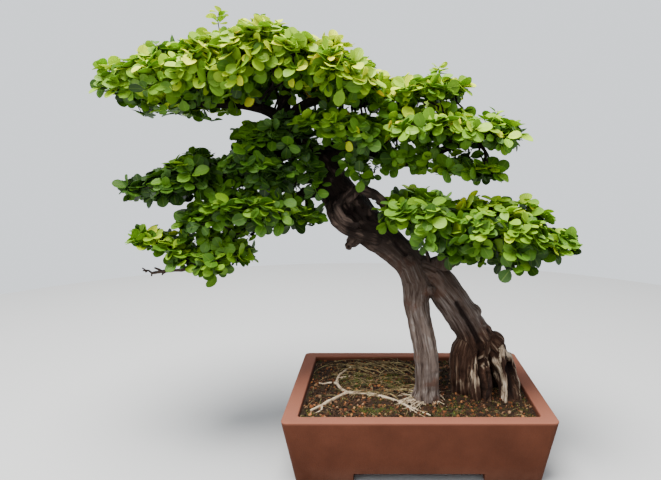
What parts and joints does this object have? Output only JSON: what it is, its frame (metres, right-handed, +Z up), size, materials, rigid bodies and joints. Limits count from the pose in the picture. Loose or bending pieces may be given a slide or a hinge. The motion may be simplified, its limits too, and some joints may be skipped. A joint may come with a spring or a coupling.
{
  "type": "bonsai tree in a pot",
  "caption": "Potted bonsai: a leaning, forked and hollow trunk with layered pads of small oval leaves, in a shallow rectangular unglazed clay pot.",
  "frame": {"origin": "on the table, under the middle of the whole outline's bounding box", "axes": "+X to the right along the pot's long front, +Y to the back, +Z up the tree"},
  "size_m": [0.7428, 0.3216, 0.6841],
  "materials": {
    "clay": "matte",
    "plastic_mesh": "matte",
    "aluminium_wire": "satin",
    "soil": "matte",
    "moss": "matte",
    "pale_root": "matte",
    "bark": "matte",
    "leaf": "satin"
  },
  "bodies": {
    "root": {"branch_back_left": "bark", "branch_back_right": "bark", "branch_back_upper": "bark", "branch_crown_left": "bark", "branch_crown_right": "bark", "branch_left_lower": "bark", "branch_left_upper": "bark", "branch_right_lower": "bark", "branch_right_upper": "bark", "drain_screen_left": "plastic_mesh", "drain_screen_right": "plastic_mesh", "leaves_back_left": "leaf", "leaves_back_right": "leaf", "leaves_back_upper": "leaf", "leaves_crown_left": "leaf", "leaves_crown_right": "leaf", "leaves_crown_tip": "leaf", "leaves_crown_top": "leaf", "leaves_left_hang": "leaf", "leaves_left_inner": "leaf", "leaves_left_low": "leaf", "leaves_left_upper": "leaf", "leaves_low_inner": "leaf", "leaves_low_right": "leaf", "leaves_right_hang": "leaf", "leaves_right_tier": "leaf", "leaves_right_upper": "leaf", "leaves_shoulder": "leaf", "moss_front": "moss", "moss_left": "moss", "moss_middle": "moss", "moss_right": "moss", "pot": "clay", "screen_wire_left": "aluminium_wire", "screen_wire_right": "aluminium_wire", "soil": "soil", "surface_root": "pale_root", "trunk": "bark"}
  },
  "joints": []
}
